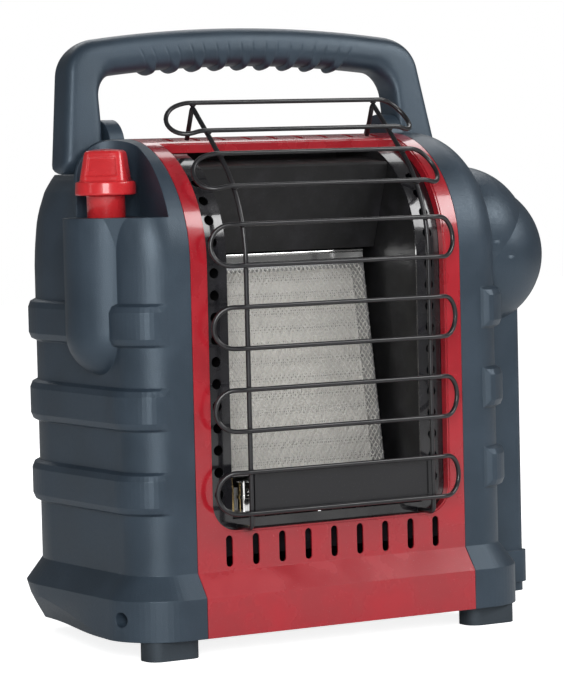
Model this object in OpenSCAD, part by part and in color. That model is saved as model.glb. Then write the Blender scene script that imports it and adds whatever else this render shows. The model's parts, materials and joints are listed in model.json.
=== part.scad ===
// Portable propane heater: sheet-metal fire front between two moulded housings,
// with a bail handle, a wire guard, a tilted ceramic burner and a swivel regulator.
// Millimetres. X is across, Y runs from the front to the back, Z is up from the floor.

/* [Overall] */
// Half width of the body without the base flare
body_half = 135; // [130:1:142]
// Depth of the body from the panel face to the back
body_depth = 175; // [170:1:184]
// Height of the flat top
top_z = 312; // [308:1:318]
// Radius of the front top curve
front_arc = 75; // [72:1:78]
// Radius of the back top curve
back_arc = 65; // [58:1:68]
// Radius of the front upright corners
front_corner = 25; // [22:1:28]
// Radius of the back upright corners
back_corner = 60; // [52:1:62]
// Radius of the shoulders along the top
shoulder = 28; // [25:1:31]
// Radius of the shoulders behind the handle pivot
rear_shoulder = 57; // [50:1:60]
// Wall of the moulded housings
wall = 3.5; // [3:0.25:4]

/* [Base] */
// Height of the underside of the base above the floor
base_z = 11.8; // [10:0.5:14]
// Height where the upright base band ends
band_z = 36.3; // [34:0.5:38]
// Height where the base flare meets the body
flare_z = 50.2; // [49:0.5:54]
// How far the base band stands out all round
flare = 10.4; // [8:0.2:11]
// Depth of a foot from front to back
foot_depth = 20; // [18:1:24]

/* [Front panel] */
// Half width of the front panel
panel_half = 97.5; // [96:0.5:99]
// Thickness of the painted sheet
sheet = 1.2; // [0.8:0.1:1.5]
// Half width of the window
window_half = 87; // [85:0.5:88]
// Height of the lower edge of the window
window_z = 73; // [72:0.5:75]
// Radius of the lower corners of the window
window_corner = 18; // [14:1:22]
// Distance from the panel face to the upper edge of the window
window_back = 53; // [50:0.5:56]
// Depth of the flange turned in round the window
window_flange = 5.5; // [4.5:0.1:5.6]
// Where the front panel ends on the top
panel_back = 118; // [114:1:122]
// Number of air slots below the window
air_slots = 9; // [5:2:9]
// Distance between air slots
air_slot_pitch = 18.8; // [17:0.2:20]
// Width of an air slot
air_slot_w = 4.8; // [4:0.1:5.5]
// Height of an air slot
air_slot_h = 19; // [16:0.5:19]
// Number of heat slots on the top, one above each air slot
heat_slots = 9; // [5:2:9]

/* [Housing ribs] */
// Height of a side rib
rib_h = 27; // [22:1:30]
// Distance between side ribs
rib_pitch = 50.5; // [48:0.5:53]
// How far a side rib stands out
rib_out = 4.8; // [3.5:0.1:5]
// Height of the lower edge of the lowest rib
rib_z = 86; // [82:1:90]

/* [Knob and valve] */
// Distance of the knob axis left of the middle
knob_x = 127; // [126:0.5:129]
// Distance of the knob axis behind the panel face
knob_y = 49; // [46:0.5:50]
// Radius of the valve tower
tower_r = 26.5; // [26:0.1:28]
// Height of the ledge under the knob
ledge_z = 265; // [262:1:268]
// Radius of the knob skirt
knob_r = 18.7; // [17:0.1:19]
// Radius of the knob neck
knob_neck_r = 11.8; // [11:0.1:12]
// Push travel of the knob
knob_push = 4; // [3:0.5:4]
// Radius of the valve stem
stem_r = 3.9; // [3.5:0.1:4.2]

/* [Handle] */
// Height of the handle pivot
pivot_z = 308; // [306:0.5:310]
// Distance of the handle pivot behind the panel face
pivot_y = 92; // [91:0.5:93]
// Height of the handle above its pivot, along the handle
handle_h = 73; // [71:0.5:76]
// Half width of the handle
handle_half = 129.5; // [128:0.5:131]
// Thickness of the handle from front to back
handle_t = 24; // [22:0.5:24.5]
// Width of a handle leg at the grip
leg_w = 20.6; // [19:0.2:20.8]
// How much wider a handle leg is at its pivot
leg_spread = 7.5; // [5:0.5:8]
// Height of the grip section
grip_h = 23.5; // [22:0.5:25]
// Angle at which the raised handle leans back
handle_lean = 9; // [7:0.5:10]
// Radius of the handle pins
pin_r = 3; // [2.5:0.1:3.5]

/* [Guard] */
// Radius of the guard wire
wire_r = 1.5; // [1.3:0.1:1.6]
// Distance of the guard wires in front of the panel
guard_gap = 15; // [14.5:0.5:18]
// Distance between the runs of a guard loop, and between loops
guard_pitch = 24.9; // [24:0.1:25.2]
// Height of the lowest guard wire
guard_z = 85.4; // [85:0.2:87]
// Number of guard loops
loop_count = 6; // [3:1:6]
// Half width of the guard from end to end
guard_half = 89; // [88:0.5:90]
// Distance of each guard upright from the middle
upright_x = 66; // [65.5:0.5:68]

/* [Burner] */
// Half width of the firebox
fire_half = 69; // [68.5:0.5:70]
// Distance of the firebox back behind the panel face
fire_back = 98; // [97:1:102]
// Height of the firebox floor
fire_floor = 82; // [81:0.5:82.5]
// Half width of the glowing screen
tile_half = 60.7; // [58:0.5:61]
// Height of the glowing screen, along its slope
tile_h = 128; // [124:0.5:129]
// Angle at which the burner leans back
burner_lean = 8.85; // [7:0.5:9.5]

/* [Gas supply] */
// Distance of the gas cylinder axis right of the middle
cylinder_x = 166; // [165:0.5:167]
// Distance of the gas cylinder axis behind the panel face
cylinder_y = 100; // [99.5:0.5:101]
// Radius of the bay for a one-pound cylinder
bay_r = 53; // [52:0.5:53.5]
// Height of the regulator swivel axis
swivel_z = 241; // [240:0.5:242]
// Radius of the cylinder thread in the socket
thread_r = 12.2; // [12:0.05:12.5]
// Depth of the cylinder thread in the socket
thread_depth = 15; // [13:0.5:15.5]

/* [Fits] */
// Clearance between pieces that are fixed side by side
gap = 0.3; // [0.2:0.05:0.4]
// Radial clearance of a running fit
run = 0.06; // [0.03:0.01:0.09]

/* [Hidden] */
$fn = 48;
e = 0.01;

housing_in = panel_half + gap;      // inner edge of both housings
arc_z = top_z - front_arc;          // height where the front curve starts
dome_r = 47.5;                      // radius of the regulator dome
dome_low = [cylinder_x - 18.3, swivel_z - 9];   // centre line of the dome's outer part, as X and Z
dome_high = [cylinder_x - 29, swivel_z + 1];    // centre line of the dome's inner part
dome_front = 62;                    // where the dome's nose starts to round
dome_back = 100;                    // where the dome's back starts to round
shroud_front = 42;                  // front of the wall below the dome
left_reach = max(knob_x + tower_r, body_half + flare);
right_reach = dome_low[0] + dome_r;
front_reach = guard_gap + wire_r;
// The base flare reaches furthest back where the housings meet the rear panel
back_reach = body_depth - back_corner
  + sqrt(pow(back_corner + flare, 2) - pow(housing_in - body_half + back_corner, 2));
mid_x = (right_reach - left_reach) / 2;
mid_y = (back_reach - front_reach) / 2;

dark = [0.20, 0.24, 0.28];
red = [0.70, 0.12, 0.15];
black = [0.10, 0.10, 0.11];
steel = [0.72, 0.72, 0.73];
brass = [0.80, 0.65, 0.35];

// Moves everything so that the origin is under the middle of the whole heater
module place() { translate([-mid_x, -mid_y, 0]) children(); }
module left_side() { mirror([1, 0, 0]) children(); }
// Turns a drawing of the side (Y to the right, Z up) into a slab from x0 to x1
module across(x0, x1) {
  translate([x0, 0, 0]) rotate([90, 0, 90]) linear_extrude(x1 - x0) children();
}
// Turns a drawing of the front (X to the right, Z up) into a slab from y0 to y1
module backward(y0, y1) {
  translate([0, y1, 0]) rotate([90, 0, 0]) linear_extrude(y1 - y0) children();
}
module rod_x(x0, x1, y, z, r) { translate([x0, y, z]) rotate([0, 90, 0]) cylinder(r = r, h = x1 - x0); }
module rod_y(y0, y1, x, z, r) { translate([x, y1, z]) rotate([90, 0, 0]) cylinder(r = r, h = y1 - y0); }
module rod_z(z0, z1, x, y, r) { translate([x, y, z0]) cylinder(r = r, h = z1 - z0); }
module block(a, b) { translate(a) cube(b - a); }
module slot2d(w, h) {
  translate([-w / 2, w / 2]) square([w, h - w]);
  for (y = [w / 2, h - w / 2]) translate([0, y]) circle(d = w);
}
module rounded2d(x0, y0, x1, y1, r) {
  translate([x0 + r, y0]) square([x1 - x0 - 2 * r, y1 - y0]);
  translate([x0, y0 + r]) square([x1 - x0, y1 - y0 - 2 * r]);
  for (x = [x0 + r, x1 - r], y = [y0 + r, y1 - r]) translate([x, y]) circle(r = r);
}

// Closed tube of flat sides along a route of points; a closed route joins its own start
function unit(v) = v / norm(v);
module tube(route, r, sides, closed) {
  n = len(route);
  function heading(i) =
    let (after = closed || i < n - 1 ? unit(route[(i + 1) % n] - route[i]) : [0, 0, 0],
      before = closed || i > 0 ? unit(route[i] - route[(i + n - 1) % n]) : [0, 0, 0])
    unit(after + before);
  points = [for (i = [0:n - 1], k = [0:sides - 1])
    let (d = heading(i), u = unit(cross(d, [0.31, 0.93, 0.2])), w = cross(d, u), a = k * 360 / sides)
      route[i] + r * (cos(a) * u + sin(a) * w)];
  walls = [for (i = [0:n - (closed ? 1 : 2)], k = [0:sides - 1], half = [0, 1])
    let (a = i * sides + k, b = i * sides + (k + 1) % sides,
      c = ((i + 1) % n) * sides + k, d = ((i + 1) % n) * sides + (k + 1) % sides)
      half == 0 ? [a, c, b] : [b, c, d]];
  caps = closed ? [] : concat([for (k = [1:sides - 2]) [0, k, k + 1]],
    [for (k = [1:sides - 2]) let (m = (n - 1) * sides) [m, m + k + 1, m + k]]);
  polyhedron(points, concat(walls, caps));
}

// ---------- outlines that several pieces share ----------
// Side view of the body, drawn in by d all round
module side_view(d, z0) {
  r1 = front_arc - d;
  r2 = back_arc - d;
  translate([d, z0]) square([front_arc - d + e, arc_z - z0]);
  translate([front_arc, arc_z]) circle(r = r1, $fn = 96);
  translate([front_arc, z0]) square([body_depth - back_arc - front_arc, top_z - d - z0]);
  translate([body_depth - back_arc, top_z - back_arc]) circle(r = r2, $fn = 96);
  translate([body_depth - back_arc - e, z0]) square([back_arc - d + e, top_z - back_arc - z0]);
}
// Plan view of the right half of the body, drawn in by d, from x0 outwards
module plan_view(d, x0) {
  rf = front_corner - d;
  rb = back_corner - d;
  xf = body_half - front_corner;
  xb = body_half - back_corner;
  intersection() {
    union() {
      translate([0, d]) square([xf, front_corner]);
      translate([xf, front_corner]) circle(r = rf, $fn = 64);
      translate([0, front_corner]) square([body_half - d, body_depth - back_corner - front_corner]);
      translate([xb, body_depth - back_corner]) circle(r = rb, $fn = 96);
      translate([0, body_depth - back_corner]) square([xb, back_corner - d]);
    }
    translate([x0, -50]) square([300, 400]);
  }
}
// Front view of one housing's shoulder, drawn in by d
module shoulder_view(d, x0, z0, round_r) {
  xs = body_half - round_r;
  intersection() {
    union() {
      translate([x0, z0]) square([max(xs - x0, e), top_z - d - z0]);
      translate([xs, z0]) square([round_r - d, top_z - round_r - z0]);
      translate([xs, top_z - round_r]) circle(r = round_r - d, $fn = 96);
    }
    translate([x0, z0]) square([200, top_z]);
  }
}
// Solid of one housing, drawn in by d: an upright front column, a front curve turned
// about the X axis with the same rounded edge, and a back part cut from three views
module side_solid(d, x0, z0) {
  rf = front_corner - d;
  xf = body_half - front_corner;
  translate([0, 0, z0]) linear_extrude(arc_z - z0) intersection() {
    plan_view(d, x0);
    translate([0, -50]) square([300, 50 + front_arc]);
  }
  translate([0, front_arc, arc_z]) rotate([180, 0, 0]) rotate([0, 90, 0])
    rotate_extrude(angle = 90, $fn = 96) intersection() {
      union() {
        translate([0, x0]) square([front_arc - d - rf, body_half - d - x0]);
        translate([0, x0]) square([front_arc - d, xf - x0]);
        translate([front_arc - front_corner, xf]) circle(r = rf, $fn = 64);
      }
      translate([0, x0]) square([200, 200]);
    }
  intersection() {
    translate([0, 0, z0]) linear_extrude(top_z) intersection() {
      plan_view(d, x0);
      translate([0, front_arc - e]) square([300, 200]);
    }
    across(0, 200) side_view(d, z0);
    backward(front_arc - e, 250) shoulder_view(d, x0, z0, rear_shoulder);
  }
}
// Band round the foot of a housing; its lower edge is cut back more and more towards the rear
module base_solid() {
  difference() {
    hull() {
      translate([0, 0, base_z]) linear_extrude(band_z - base_z) plan_view(-flare, housing_in);
      translate([0, 0, flare_z]) linear_extrude(1) plan_view(0.6, housing_in);
    }
    translate([body_half + flare, 25, base_z]) rotate([0, tuck_tilt, tuck_turn])
      block([0, -200, -200], [60, 200, 200]);
  }
}
tuck_tilt = 21.2;
tuck_turn = 4;
// One padded rib that wraps round the front corner and the side
module rib(z, x_end) {
  module slab(out, cut, h) {
    translate([0, 0, z + (rib_h - h) / 2]) linear_extrude(h) intersection() {
      plan_view(-out, x_end + cut);
      translate([0, -50]) square([300, 50 + body_depth - 12 - cut]);
    }
  }
  hull() {
    slab(-0.6, 0, rib_h);
    slab(rib_out * 0.7, 2, rib_h - 4);
    slab(rib_out, 5, rib_h - 11);
  }
}
module ribs(x_end) {
  for (i = [0:2]) rib(rib_z + i * rib_pitch, x_end);
}
// Channel in the shoulder where a handle leg turns and lies back
channel_x = handle_half - leg_w - gap;
leg_end_r = handle_t / 2 + 5;       // the round end of a leg turns inside the channel
channel_z = pivot_z - leg_end_r - 0.5;
channel_y = pivot_y - leg_end_r - 0.5;
module handle_channel() {
  block([channel_x, channel_y, channel_z], [160, 250, 340]);
  block([channel_x - 4, pivot_y + 19, channel_z], [160, 250, 340]);
}
module pivot_ear() {
  rod_x(housing_in + 0.2, channel_x - 0.5, pivot_y, pivot_z, 16);
}
module pivot_bore() {
  rod_x(housing_in - 5, channel_x + 5, pivot_y, pivot_z, pin_r + run);
}
// Pilot holes for the screws of both feet
foot_front_y = foot_depth / 2 - 5;
foot_rear_y = body_depth - 29;
foot_front_x = housing_in + 18;
foot_rear_x = 46;
module foot_holes() {
  rod_z(base_z - 1, base_z + 2.5, foot_front_x, foot_front_y, 2.1);
}
screw_y = 14;
screw_z = 25;
screw_head_r = 3.4;
module screw_recess() {
  rod_x(body_half - 2, body_half + 30, screw_y, screw_z, 4.6);
}

// ---------- left housing ----------
niche_r = knob_r + 3.8;
module niche_plan(d) {
  translate([knob_x, knob_y]) circle(r = niche_r + d, $fn = 64);
  polygon([[knob_x - niche_r - d, knob_y], [knob_x - 14 - d, -40], [knob_x + 80, -40],
    [knob_x + 80, knob_y + niche_r + d + 4], [knob_x, knob_y + niche_r + d]]);
}
// Fillet between the tower and the front corner that fades out below the ledge
module ledge_gusset() {
  hull() {
    translate([0, 0, ledge_z - 0.5]) linear_extrude(0.5) {
      translate([knob_x, knob_y]) circle(r = tower_r - 0.2, $fn = 48);
      translate([body_half - front_corner, 31]) circle(r = front_corner - 1, $fn = 48);
    }
    rod_z(ledge_z - 28, ledge_z - 27, knob_x - 9, knob_y - 13, 19.5, $fn = 32);
  }
}
module left_housing() {
  place() color(dark) left_side() {
    difference() {
      union() {
        side_solid(0, housing_in, base_z + 1);
        base_solid();
        ribs(body_half - 22);
        rod_z(ledge_z - 70, ledge_z, knob_x, knob_y, tower_r);
        translate([knob_x, knob_y, ledge_z - 70]) sphere(r = tower_r, $fn = 64);
        intersection() {
          ledge_gusset();
          block([housing_in, 0, 0], [300, 300, 300]);
        }
        pivot_ear();
      }
      difference() {
        side_solid(wall, housing_in - 1, base_z + wall);
        translate([0, 0, ledge_z - wall]) linear_extrude(80) niche_plan(wall - 0.5);
        block([0, channel_y - wall, channel_z - wall], [200, 250, 340]);
      }
      rod_z(ledge_z - 70, ledge_z - wall, knob_x, knob_y, tower_r - wall);
      translate([knob_x, knob_y, ledge_z - 70]) sphere(r = tower_r - wall, $fn = 64);
      translate([0, 0, ledge_z]) linear_extrude(80) niche_plan(0);
      rod_z(ledge_z - 20, ledge_z + 5, knob_x, knob_y, knob_neck_r + 0.6);
      handle_channel();
      screw_recess();
      pivot_bore();
      foot_holes();
    }
  }
}

// ---------- right housing ----------
// Rounded hood of radius r that covers the regulator: two bars with round ends, side by side
module dome(r) {
  for (c = [dome_low, dome_high]) {
    rod_y(dome_front, dome_back, c[0], c[1], r);
    for (y = [dome_front, dome_back]) translate([c[0], y, c[1]]) rotate([90, 0, 0]) sphere(r = r);
  }
}
// Wall below the dome in front of the cylinder bay, with its own foot band
module shroud() {
  wall_end = cylinder_x + 8.3;
  translate([0, 0, base_z]) linear_extrude(205 - base_z)
    rounded2d(housing_in + 20, shroud_front, wall_end, shroud_front + 16, 6);
  translate([0, 0, base_z + 6]) linear_extrude(band_z - base_z - 4)
    rounded2d(housing_in + 20, shroud_front - 2.2, wall_end + 2.2, shroud_front + 18, 8);
}
module bay(grow) {
  rod_z(-1, swivel_z - 13, cylinder_x, cylinder_y, bay_r + grow);
  block([cylinder_x - bay_r - grow, cylinder_y, -1], [300, 300, swivel_z - 13]);
}
module right_housing() {
  place() color(dark) {
    difference() {
      union() {
        side_solid(0, housing_in, base_z + 1);
        base_solid();
        intersection() {
          ribs(body_half - 22);
          block([0, -50, 0], [300, shroud_front + 8, 300]);
        }
        intersection() {
          dome(dome_r);
          block([housing_in, 0, 0], [300, 300, 300]);
        }
        shroud();
        pivot_ear();
      }
      difference() {
        side_solid(wall, housing_in - 1, base_z + wall);
        bay(wall);
        block([bay_in - wall, shroud_front - wall, 180], [300, 300, 300]);
        block([0, channel_y - wall, channel_z - wall], [200, 250, 340]);
      }
      intersection() {
        dome(dome_r - wall);
        block([bay_in, 0, 0], [300, 300, 300]);
      }
      bay(0);
      handle_channel();
      screw_recess();
      pivot_bore();
      foot_holes();
      rod_x(bay_in - wall - 2, bay_in + 5, cylinder_y, swivel_z, 9 + gap);
    }
  }
}

// ---------- sheet metal ----------
module panel_side(d) {
  translate([-flare + d, base_z]) square([flare + 5, band_z - base_z]);
  polygon([[-flare + d, band_z], [d, flare_z], [front_arc, flare_z], [front_arc, band_z]]);
  translate([-flare + d, base_z]) square([front_arc, band_z - base_z + e]);
  side_view(d, flare_z - e);
}
module window2d(d) {
  difference() {
    translate([-window_half + d, window_z + d]) square([2 * (window_half - d), 300]);
    for (s = [-1, 1]) translate([s * (window_half - window_corner), window_z + window_corner])
      difference() {
        translate([s > 0 ? 0 : -40, -40]) square([40, 40]);
        circle(r = window_corner - d, $fn = 64);
      }
  }
}
module front_panel() {
  place() color(red) {
    difference() {
      across(-panel_half, panel_half) intersection() {
        difference() { panel_side(0); panel_side(sheet); }
        translate([-60, 0]) square([60 + panel_back, 400]);
      }
      backward(-40, window_back) window2d(0);
      backward(-40, 20) for (i = [0:air_slots - 1])
        translate([(i - (air_slots - 1) / 2) * air_slot_pitch, window_z - 1.5 - air_slot_h])
          slot2d(air_slot_w, air_slot_h);
      for (i = [0:heat_slots - 1])
        translate([(i - (heat_slots - 1) / 2) * air_slot_pitch, window_back + 4, top_z - 12])
          linear_extrude(20) slot2d(3.4, 15);
    }
    intersection() {
      across(-panel_half, panel_half) difference() {
        panel_side(sheet / 2);
        panel_side(window_flange);
      }
      difference() {
        backward(-40, window_back) window2d(0);
        backward(-41, window_back - sheet) window2d(sheet);
      }
    }
  }
}
louver_rows = 5;
module rear_panel() {
  place() color(black) difference() {
    intersection() {
      difference() {
        across(-panel_half, panel_half) side_view(0, base_z);
        across(-200, 200) side_view(sheet, 0);
      }
      block([-200, panel_back + gap, base_z], [200, 300, 400]);
    }
    for (i = [0:louver_rows - 1], s = [-1, 1]) backward(body_depth - 10, body_depth + 10)
      translate([s * 42 - 30, 70 + i * 16]) rotate(-90) slot2d(5, 60);
  }
}
module base_pan() {
  y0 = -flare + sheet + gap;
  y1 = body_depth - sheet - gap;
  place() color(steel) difference() {
    block([-panel_half, y0, base_z + 1], [panel_half, y1, base_z + 13]);
    block([-panel_half - 1, y0 + 1.5, base_z + 2.5], [panel_half + 1, y1 - 1.5, base_z + 20]);
    for (x = [-60, 0, 60], y = [40, 60]) translate([x, y, 0]) linear_extrude(40) slot2d(4, 12);
    for (side = [-1, 1]) rod_z(base_z, base_z + 5, side * foot_rear_x, foot_rear_y, 2.1);
  }
}

// ---------- feet ----------
module foot(x, y, half_w, top) {
  color(dark) difference() {
    translate([x, y, 0]) linear_extrude(top)
      rounded2d(-half_w, -foot_depth / 2, half_w, foot_depth / 2, 8);
    rod_z(-1, base_z - 3, x, y, 4.5);
    rod_z(-1, top + 1, x, y, 2.1);
  }
}
module front_foot() { foot(housing_in + 18, foot_front_y, 17.6, base_z); }
module rear_foot() { foot(foot_rear_x, foot_rear_y, 16, base_z + 1); }
module foot_front_left() { place() left_side() front_foot(); }
module foot_front_right() { place() front_foot(); }
module foot_rear_left() { place() left_side() rear_foot(); }
module foot_rear_right() { place() rear_foot(); }

// ---------- handle ----------
grip_arch = 874;                    // radius of the gentle arch of the grip
ridge_pitch = 17;
function arch_drop(x) = grip_arch - sqrt(grip_arch * grip_arch - x * x);
// Front view of the handle about its pivots, drawn in by d
module handle_outline(d) {
  inner = handle_half - leg_w + d;
  under = handle_h - grip_h;        // height of the grip's underside
  foot = handle_half + leg_spread;
  difference() {
    intersection() {
      rounded2d(-foot, d - leg_end_r, foot, handle_h + 40, 12 - d);
      polygon([[-foot + d, -20], [foot - d, -20], [foot - d, -4], [handle_half - d, under - 4],
        [handle_half - d, handle_h], [-handle_half + d, handle_h], [-handle_half + d, under - 4],
        [-foot + d, -4]]);
      translate([0, handle_h - grip_arch]) circle(r = grip_arch - d, $fn = 360);
      union() {
        rounded2d(-handle_half + d, -100, handle_half - d, handle_h - 3, 26);
        translate([-200, -100]) square([400, 100 + under - 4]);
      }
    }
    intersection() {
      rounded2d(-inner, -60, inner, under - arch_drop(inner) + 6, 18);
      translate([0, handle_h - grip_arch]) circle(r = grip_arch - grip_h + d, $fn = 360);
    }
  }
  for (i = [-4:4]) translate([i * ridge_pitch, under - arch_drop(i * ridge_pitch) + d])
    circle(r = 2.8, $fn = 16);
}
module carry_handle() {
  bevel = 3.5;
  place() color(dark) translate([0, pivot_y, pivot_z]) rotate([-handle_lean, 0, 0]) difference() {
    intersection() {
      minkowski() {
        backward(-handle_t / 2 + bevel, handle_t / 2 - bevel) handle_outline(bevel);
        rotate([90, 0, 0]) for (s = [0, 1]) mirror([0, 0, s])
          cylinder(r1 = bevel, r2 = 0, h = bevel, $fn = 8);
      }
      across(-200, 200) {
        circle(r = leg_end_r, $fn = 32);
        translate([-leg_end_r, 0]) square([2 * leg_end_r, 200]);
      }
    }
    rod_x(-200, 200, 0, 0, pin_r + run);
  }
}
module handle_pins() {
  place() color(steel) for (s = [0, 1]) mirror([s, 0, 0])
    rod_x(housing_in + 0.3, handle_half - 1, pivot_y, pivot_z, pin_r);
}

// ---------- guard ----------
guard_r = front_arc + guard_gap;    // radius of the guard's curve
end_r = guard_pitch / 2;
bend_x = 72;                        // where the loop ends start to turn back
bend = 22;                          // angle by which the loop ends turn back
last_turn = 46.5;                   // the guard's curve ends here and runs straight on
last_s = arc_z + guard_r * last_turn * PI / 180;
top_drop = 4.4;                     // how much nearer the top loop is to the loop below it
function loop_s(i) = guard_z + (2 * i + 0.5) * guard_pitch - (i == 5 ? top_drop : 0);
// Angle by which a point s along the guard has turned over the top
function guard_turn(s) = min(last_turn, max(0, (s - arc_z) / guard_r * 180 / PI));
// Moves children to the place on the guard's surface that is s along it
module on_guard(s) {
  turn = guard_turn(s);
  on_curve = s < last_s;
  depth = on_curve ? sqrt(guard_r * guard_r - end_r * end_r) : guard_r;
  if (turn == 0) translate([0, -guard_gap, s]) children();
  else translate([0, front_arc, arc_z]) rotate([-turn, 0, 0])
    translate([0, -depth, on_curve ? 0 : s - last_s]) children();
}
loop_reach = (guard_half - bend_x) / cos(bend) - end_r - wire_r;
// Half of a loop, from its lower run round the end to its upper run; side is 1 or -1
function half_loop(side) = concat(
  [[side * bend_x, 0, -side * end_r]],
  [for (k = [0:8]) let (f = side * (k * 22.5 - 90), out = loop_reach + end_r * cos(f))
    [side * (bend_x + out * cos(bend)), out * sin(bend), end_r * sin(f)]],
  [[side * bend_x, 0, side * end_r]]);
upright_in = guard_r - 2 * wire_r - 0.1;
upright_foot = window_z + sheet + gap + wire_r;
upright_run = loop_s(loop_count - 1) + end_r - last_s - 3;
upright_bend = [front_arc - upright_in * cos(last_turn), arc_z + upright_in * sin(last_turn)];
upright_top = upright_bend + upright_run * [sin(last_turn), cos(last_turn)];
upright_end_y = upright_top[0] + 9.5;
// An upright leaves the panel below the window, follows the loops up and over, and ends on
// the panel behind the window
upright_route = concat(
  [[4, upright_foot], [front_arc - upright_in + 3, upright_foot],
    [front_arc - upright_in, upright_foot + 3]],
  [for (k = [0:9]) let (a = last_turn * k / 9)
    [front_arc - upright_in * cos(a), arc_z + upright_in * sin(a)]],
  [upright_top, upright_top + [2.6, 0.6],
    [upright_end_y, arc_z + sqrt(pow(front_arc, 2) - pow(front_arc - upright_end_y, 2)) + 1.3]]);
module guard_loops() {
  place() color(black) for (i = [0:loop_count - 1])
    on_guard(loop_s(i))
      tube(concat(half_loop(1), half_loop(-1)), wire_r, 8, true);
}
module guard_uprights() {
  place() color(black) for (side = [-1, 1])
    tube([for (p = upright_route) [side * upright_x, p[0], p[1]]], wire_r, 8, false);
}
module guard_plate() {
  y = -guard_gap + wire_r + gap;
  x = upright_x - wire_r - gap;
  place() color(black) difference() {
    backward(y, y + 2) rounded2d(-x, guard_z - 1.4, x, guard_z + guard_pitch + 1, 2);
    backward(y - 1, y + 0.8) rounded2d(-x + 2.5, guard_z + 1.2, x - 2.5, guard_z + guard_pitch - 1.6, 1.5);
  }
}

// ---------- firebox ----------
frame_in = window_flange + gap;
hole_x = (fire_half + window_half) / 2;
module firebox_frame() {
  place() color(black) difference() {
    across(-panel_half + 1.5, panel_half - 1.5) intersection() {
      difference() { side_view(frame_in, 58); side_view(frame_in + sheet, 57); }
      translate([0, 0]) square([window_back + 12, 400]);
    }
    block([-fire_half, -10, fire_floor - 1.5], [fire_half, window_back + 13, 400]);
    for (s = [-1, 1], i = [0:10]) rod_y(-10, 30, s * hole_x, fire_floor + 14 + i * 13.4, 3.2);
    for (s = [-1, 1], a = [10, 21, 32, 43]) translate([s * hole_x, front_arc, arc_z])
      rotate([-a, 0, 0]) rod_y(-front_arc - 5, -front_arc + 25, 0, 0, 3.2);
  }
}
module firebox_liner() {
  d = frame_in + sheet + 0.1;
  place() color(black) difference() {
    intersection() {
      across(-fire_half - sheet, fire_half + sheet) side_view(d, fire_floor - sheet);
      block([-200, -10, 0], [200, fire_back, top_z - 9]);
    }
    block([-fire_half, -10, fire_floor], [fire_half, fire_back - sheet, 400]);
    rod_z(0, fire_floor + 5, venturi_x, venturi_y, venturi_r + gap);
    rod_z(0, fire_floor + 5, pilot_x, pilot_y, 3);
    rod_z(0, fire_floor + 5, spark_x, pilot_y, 1.9);
    rod_z(0, fire_floor + 5, probe_x, pilot_y, 2.4);
  }
}
module heat_deflector() {
  x = fire_half - gap;
  place() color(black) across(-x, x)
    translate([54, top_z - 72]) polygon([[0, 0], [1.2, 0.4], [-16.2, 51.6], [12.2, 56.4],
      [12, 57.6], [-17.4, 54], [-18.4, 52.6]]);
}

// ---------- burner: drawn upright, then leaned back about its lower front edge ----------
burner_y = 33;
burner_z = 104;
tile_y = 12;                        // how far the tile lies behind the screen
tile_t = 12;                        // thickness of the tile
plenum_back = 41;
module lean() { translate([0, burner_y, burner_z]) rotate([-burner_lean, 0, 0]) children(); }
module reflector_strip() {
  place() color(steel) lean() across(-tile_half, tile_half) {
    translate([1, tile_h + 3.3]) square([1, 4.7]);
    translate([1, tile_h + 3.3]) square([6, 1]);
    translate([1.2, tile_h + 8]) circle(r = 1.1, $fn = 24);
  }
}
module burner_screen() {
  place() color([0.75, 0.74, 0.68]) lean() difference() {
    union() {
      backward(-0.2, 1) rounded2d(-tile_half, 0, tile_half, tile_h, 3);
      for (s = [-1, 1]) rod_z(2, tile_h - 2, s * (tile_half - 1.6), 1.4, 1.6);
    }
    block([-tile_half - 5, 1.1, -5], [tile_half + 5, 9, tile_h + 5]);
  }
}
module ceramic_tile() {
  place() color([0.80, 0.78, 0.70]) lean()
    backward(tile_y, tile_y + tile_t) rounded2d(-tile_half + 2.6, 2, tile_half - 2.6, tile_h - 2, 2);
}
module burner_plenum() {
  place() color(steel) lean() difference() {
    union() {
      block([-tile_half, 1.4, -1], [tile_half, plenum_back, tile_h + 3]);
      for (z = [20, tile_h - 25]) block([-fire_half + gap, 20, z], [fire_half - gap, 22, z + 12]);
    }
    block([-tile_half + 2.3, 0, 1.7], [tile_half - 2.3, tile_y + tile_t + 0.2, tile_h - 1.7]);
    block([-tile_half + 5, tile_y + tile_t, 1.7], [tile_half - 5, plenum_back - 1.5, tile_h - 5]);
    rod_z(-8, 3, venturi_x, (venturi_y - burner_y) / cos(burner_lean), venturi_r + 1);
  }
}
venturi_x = -20;
venturi_y = burner_y + 31;
venturi_z = 62;
venturi_r = 7.5;
venturi_end = 34;                   // where the venturi starts to open towards the orifice
module venturi_tube() {
  module route(r, past) {
    rod_z(venturi_z, burner_z - 3 + past, venturi_x, venturi_y, r);
    rod_x(venturi_x, venturi_end + past, venturi_y, venturi_z, r);
    translate([venturi_x, venturi_y, venturi_z]) sphere(r = r);
    translate([venturi_end, venturi_y, venturi_z]) rotate([0, 90, 0])
      cylinder(r1 = r, r2 = r + 5, h = 10 + e * past);
  }
  place() color(steel) difference() {
    route(venturi_r, 0);
    route(venturi_r - 1.2, 1);
  }
}
module gas_orifice() {
  x = venturi_end + 6;
  place() color(brass) {
    difference() {
      union() {
        rod_x(x, x + 6, venturi_y, venturi_z, 3);
        rod_x(x + 6, x + 18, venturi_y, venturi_z, 6.5, $fn = 6);
      }
      rod_x(x - 1, x + 12, venturi_y, venturi_z, 0.8);
    }
    block([x + 7, venturi_y - 6, base_z + 2.5], [x + 9, venturi_y + 6, venturi_z - 5]);
  }
}

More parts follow.
